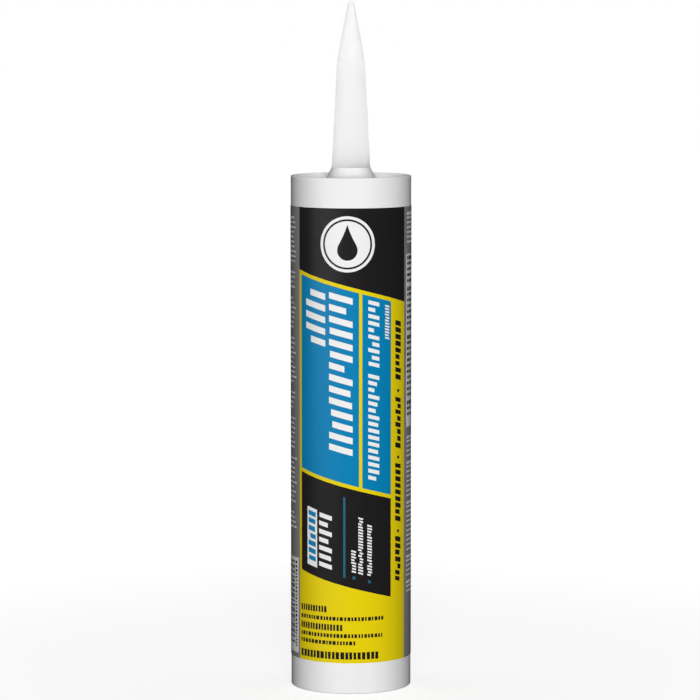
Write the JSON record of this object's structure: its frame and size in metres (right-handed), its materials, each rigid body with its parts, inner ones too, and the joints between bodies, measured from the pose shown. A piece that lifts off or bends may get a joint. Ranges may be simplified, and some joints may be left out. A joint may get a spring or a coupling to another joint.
{
  "type": "construction adhesive tube",
  "caption": "Caulking-gun cartridge: a printed straight barrel with a recessed head, a closed tapered nozzle and an open rear with a sliding plunger.",
  "frame": {"origin": "centre of the open rear rim that the cartridge stands on", "axes": "+Z along the barrel towards the nozzle's tip, -Y out of the middle of the printed front, +X to the right of that front"},
  "size_m": [0.0504, 0.0504, 0.2856],
  "materials": {
    "white_plastic": "satin, moulded",
    "natural_plastic": "satin, slightly translucent",
    "foil": "bright foil",
    "adhesive_paste": "smooth paste",
    "label_film": "film",
    "yellow_ink": "printed film",
    "black_ink": "printed film",
    "blue_ink": "printed film",
    "grey_ink": "printed film"
  },
  "bodies": {
    "cartridge": {"barrel": "white_plastic", "nozzle": "natural_plastic", "foil_seal": "foil", "adhesive": "adhesive_paste", "label_film": "label_film", "print_yellow": "yellow_ink", "print_black": "black_ink", "print_blue": "blue_ink", "print_grey": "grey_ink"},
    "plunger": {"plunger": "white_plastic"}
  },
  "joints": [
    {"name": "plunger_slide", "type": "slide", "parent": "cartridge", "child": "plunger", "axis": [0, 0, 1], "range_m": [0, 0.1745], "deforming": ["adhesive"]}
  ]
}
